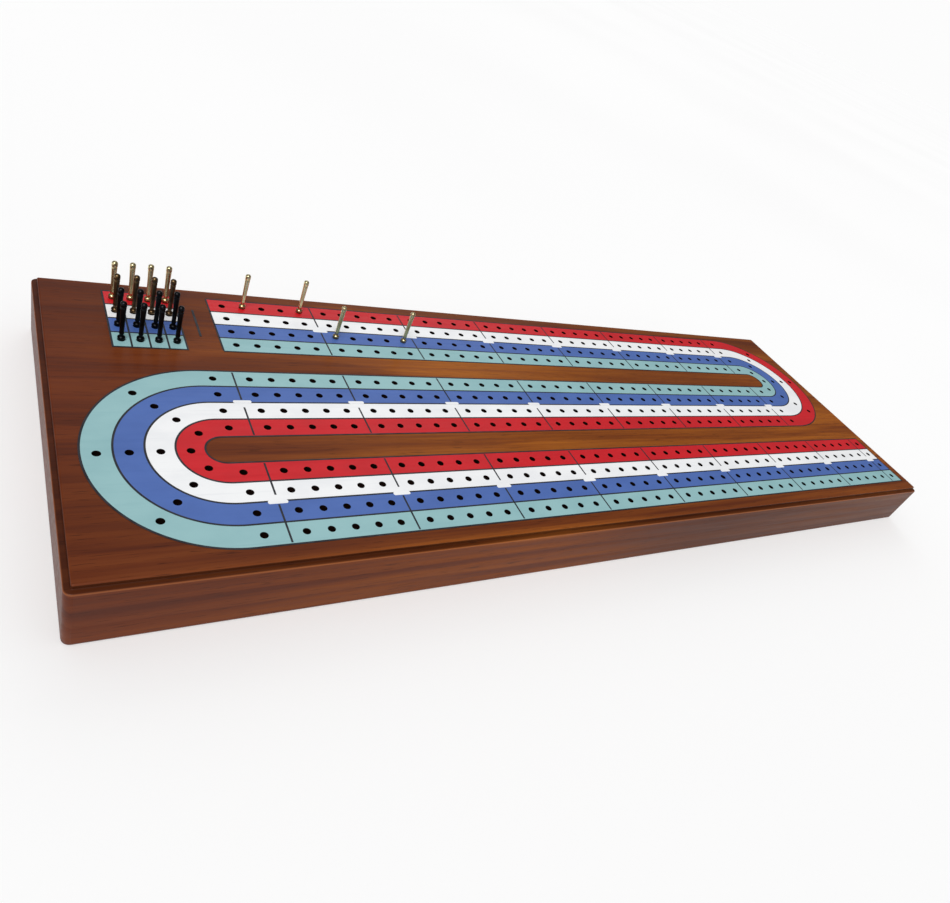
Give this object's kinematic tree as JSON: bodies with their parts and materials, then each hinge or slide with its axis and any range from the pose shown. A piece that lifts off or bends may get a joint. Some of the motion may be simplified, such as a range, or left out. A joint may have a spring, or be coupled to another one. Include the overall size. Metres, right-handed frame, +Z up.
{
  "type": "cribbage board",
  "caption": "Long wooden cribbage board with coloured serpentine peg lanes, metal pegs, and a card and peg pocket under a sliding cover.",
  "frame": {"origin": "middle of the rectangle the board rests on, on the table plane", "axes": "+Z up out of the playing surface; +X along the board's length, from the parking block towards the finish; +Y towards the side that the storage cover slides out of"},
  "size_m": [0.4058, 0.1402, 0.0375],
  "materials": {
    "board_wood": "dark mahogany stain under satin varnish",
    "pocket_wood": "orange-brown stain, satin varnish",
    "card_stock": null,
    "peg_brass": "turned and polished",
    "peg_bronze": "turned, dark antique finish",
    "peg_black": "turned, black finish",
    "lane_red": "satin paint on the wood",
    "lane_white": "satin paint on the wood",
    "lane_blue": "satin paint on the wood",
    "lane_teal": "satin paint on the wood",
    "lane_outline": "thin dark paint lines"
  },
  "bodies": {
    "board": {"board_body": "board_wood", "divider_strip": "pocket_wood", "card_deck": "card_stock"},
    "cover": {"storage_cover": "pocket_wood"},
    "peg_parked_red_1_body": {"peg_parked_red_1": "peg_brass"},
    "peg_parked_red_2_body": {"peg_parked_red_2": "peg_brass"},
    "peg_parked_red_3_body": {"peg_parked_red_3": "peg_brass"},
    "peg_parked_red_4_body": {"peg_parked_red_4": "peg_brass"},
    "peg_parked_white_1_body": {"peg_parked_white_1": "peg_bronze"},
    "peg_parked_white_2_body": {"peg_parked_white_2": "peg_bronze"},
    "peg_parked_white_3_body": {"peg_parked_white_3": "peg_bronze"},
    "peg_parked_white_4_body": {"peg_parked_white_4": "peg_bronze"},
    "peg_parked_blue_1_body": {"peg_parked_blue_1": "peg_black"},
    "peg_parked_blue_2_body": {"peg_parked_blue_2": "peg_black"},
    "peg_parked_blue_3_body": {"peg_parked_blue_3": "peg_black"},
    "peg_parked_blue_4_body": {"peg_parked_blue_4": "peg_black"},
    "peg_parked_teal_1_body": {"peg_parked_teal_1": "peg_black"},
    "peg_parked_teal_2_body": {"peg_parked_teal_2": "peg_black"},
    "peg_parked_teal_3_body": {"peg_parked_teal_3": "peg_black"},
    "peg_parked_teal_4_body": {"peg_parked_teal_4": "peg_black"},
    "peg_play_red_1_body": {"peg_play_red_1": "peg_brass"},
    "peg_play_red_2_body": {"peg_play_red_2": "peg_brass"},
    "peg_play_blue_1_body": {"peg_play_blue_1": "peg_brass"},
    "peg_play_blue_2_body": {"peg_play_blue_2": "peg_brass"}
  },
  "joints": [
    {"name": "cover_slide", "type": "slide", "parent": "board", "child": "cover", "axis": [0, 1, 0], "range_m": [0, 0.13]},
    {"name": "peg_parked_red_1_lift", "type": "slide", "parent": "board", "child": "peg_parked_red_1_body", "axis": [0, 0, 1], "range_m": [0, 0.025]},
    {"name": "peg_parked_red_2_lift", "type": "slide", "parent": "board", "child": "peg_parked_red_2_body", "axis": [0, 0, 1], "range_m": [0, 0.025]},
    {"name": "peg_parked_red_3_lift", "type": "slide", "parent": "board", "child": "peg_parked_red_3_body", "axis": [0, 0, 1], "range_m": [0, 0.025]},
    {"name": "peg_parked_red_4_lift", "type": "slide", "parent": "board", "child": "peg_parked_red_4_body", "axis": [0, 0, 1], "range_m": [0, 0.025]},
    {"name": "peg_parked_white_1_lift", "type": "slide", "parent": "board", "child": "peg_parked_white_1_body", "axis": [0, 0, 1], "range_m": [0, 0.025]},
    {"name": "peg_parked_white_2_lift", "type": "slide", "parent": "board", "child": "peg_parked_white_2_body", "axis": [0, 0, 1], "range_m": [0, 0.025]},
    {"name": "peg_parked_white_3_lift", "type": "slide", "parent": "board", "child": "peg_parked_white_3_body", "axis": [0, 0, 1], "range_m": [0, 0.025]},
    {"name": "peg_parked_white_4_lift", "type": "slide", "parent": "board", "child": "peg_parked_white_4_body", "axis": [0, 0, 1], "range_m": [0, 0.025]},
    {"name": "peg_parked_blue_1_lift", "type": "slide", "parent": "board", "child": "peg_parked_blue_1_body", "axis": [0, 0, 1], "range_m": [0, 0.025]},
    {"name": "peg_parked_blue_2_lift", "type": "slide", "parent": "board", "child": "peg_parked_blue_2_body", "axis": [0, 0, 1], "range_m": [0, 0.025]},
    {"name": "peg_parked_blue_3_lift", "type": "slide", "parent": "board", "child": "peg_parked_blue_3_body", "axis": [0, 0, 1], "range_m": [0, 0.025]},
    {"name": "peg_parked_blue_4_lift", "type": "slide", "parent": "board", "child": "peg_parked_blue_4_body", "axis": [0, 0, 1], "range_m": [0, 0.025]},
    {"name": "peg_parked_teal_1_lift", "type": "slide", "parent": "board", "child": "peg_parked_teal_1_body", "axis": [0, 0, 1], "range_m": [0, 0.025]},
    {"name": "peg_parked_teal_2_lift", "type": "slide", "parent": "board", "child": "peg_parked_teal_2_body", "axis": [0, 0, 1], "range_m": [0, 0.025]},
    {"name": "peg_parked_teal_3_lift", "type": "slide", "parent": "board", "child": "peg_parked_teal_3_body", "axis": [0, 0, 1], "range_m": [0, 0.025]},
    {"name": "peg_parked_teal_4_lift", "type": "slide", "parent": "board", "child": "peg_parked_teal_4_body", "axis": [0, 0, 1], "range_m": [0, 0.025]},
    {"name": "peg_play_red_1_lift", "type": "slide", "parent": "board", "child": "peg_play_red_1_body", "axis": [0, 0, 1], "range_m": [0, 0.025]},
    {"name": "peg_play_red_2_lift", "type": "slide", "parent": "board", "child": "peg_play_red_2_body", "axis": [0, 0, 1], "range_m": [0, 0.025]},
    {"name": "peg_play_blue_1_lift", "type": "slide", "parent": "board", "child": "peg_play_blue_1_body", "axis": [0, 0, 1], "range_m": [0, 0.025]},
    {"name": "peg_play_blue_2_lift", "type": "slide", "parent": "board", "child": "peg_play_blue_2_body", "axis": [0, 0, 1], "range_m": [0, 0.025]}
  ]
}
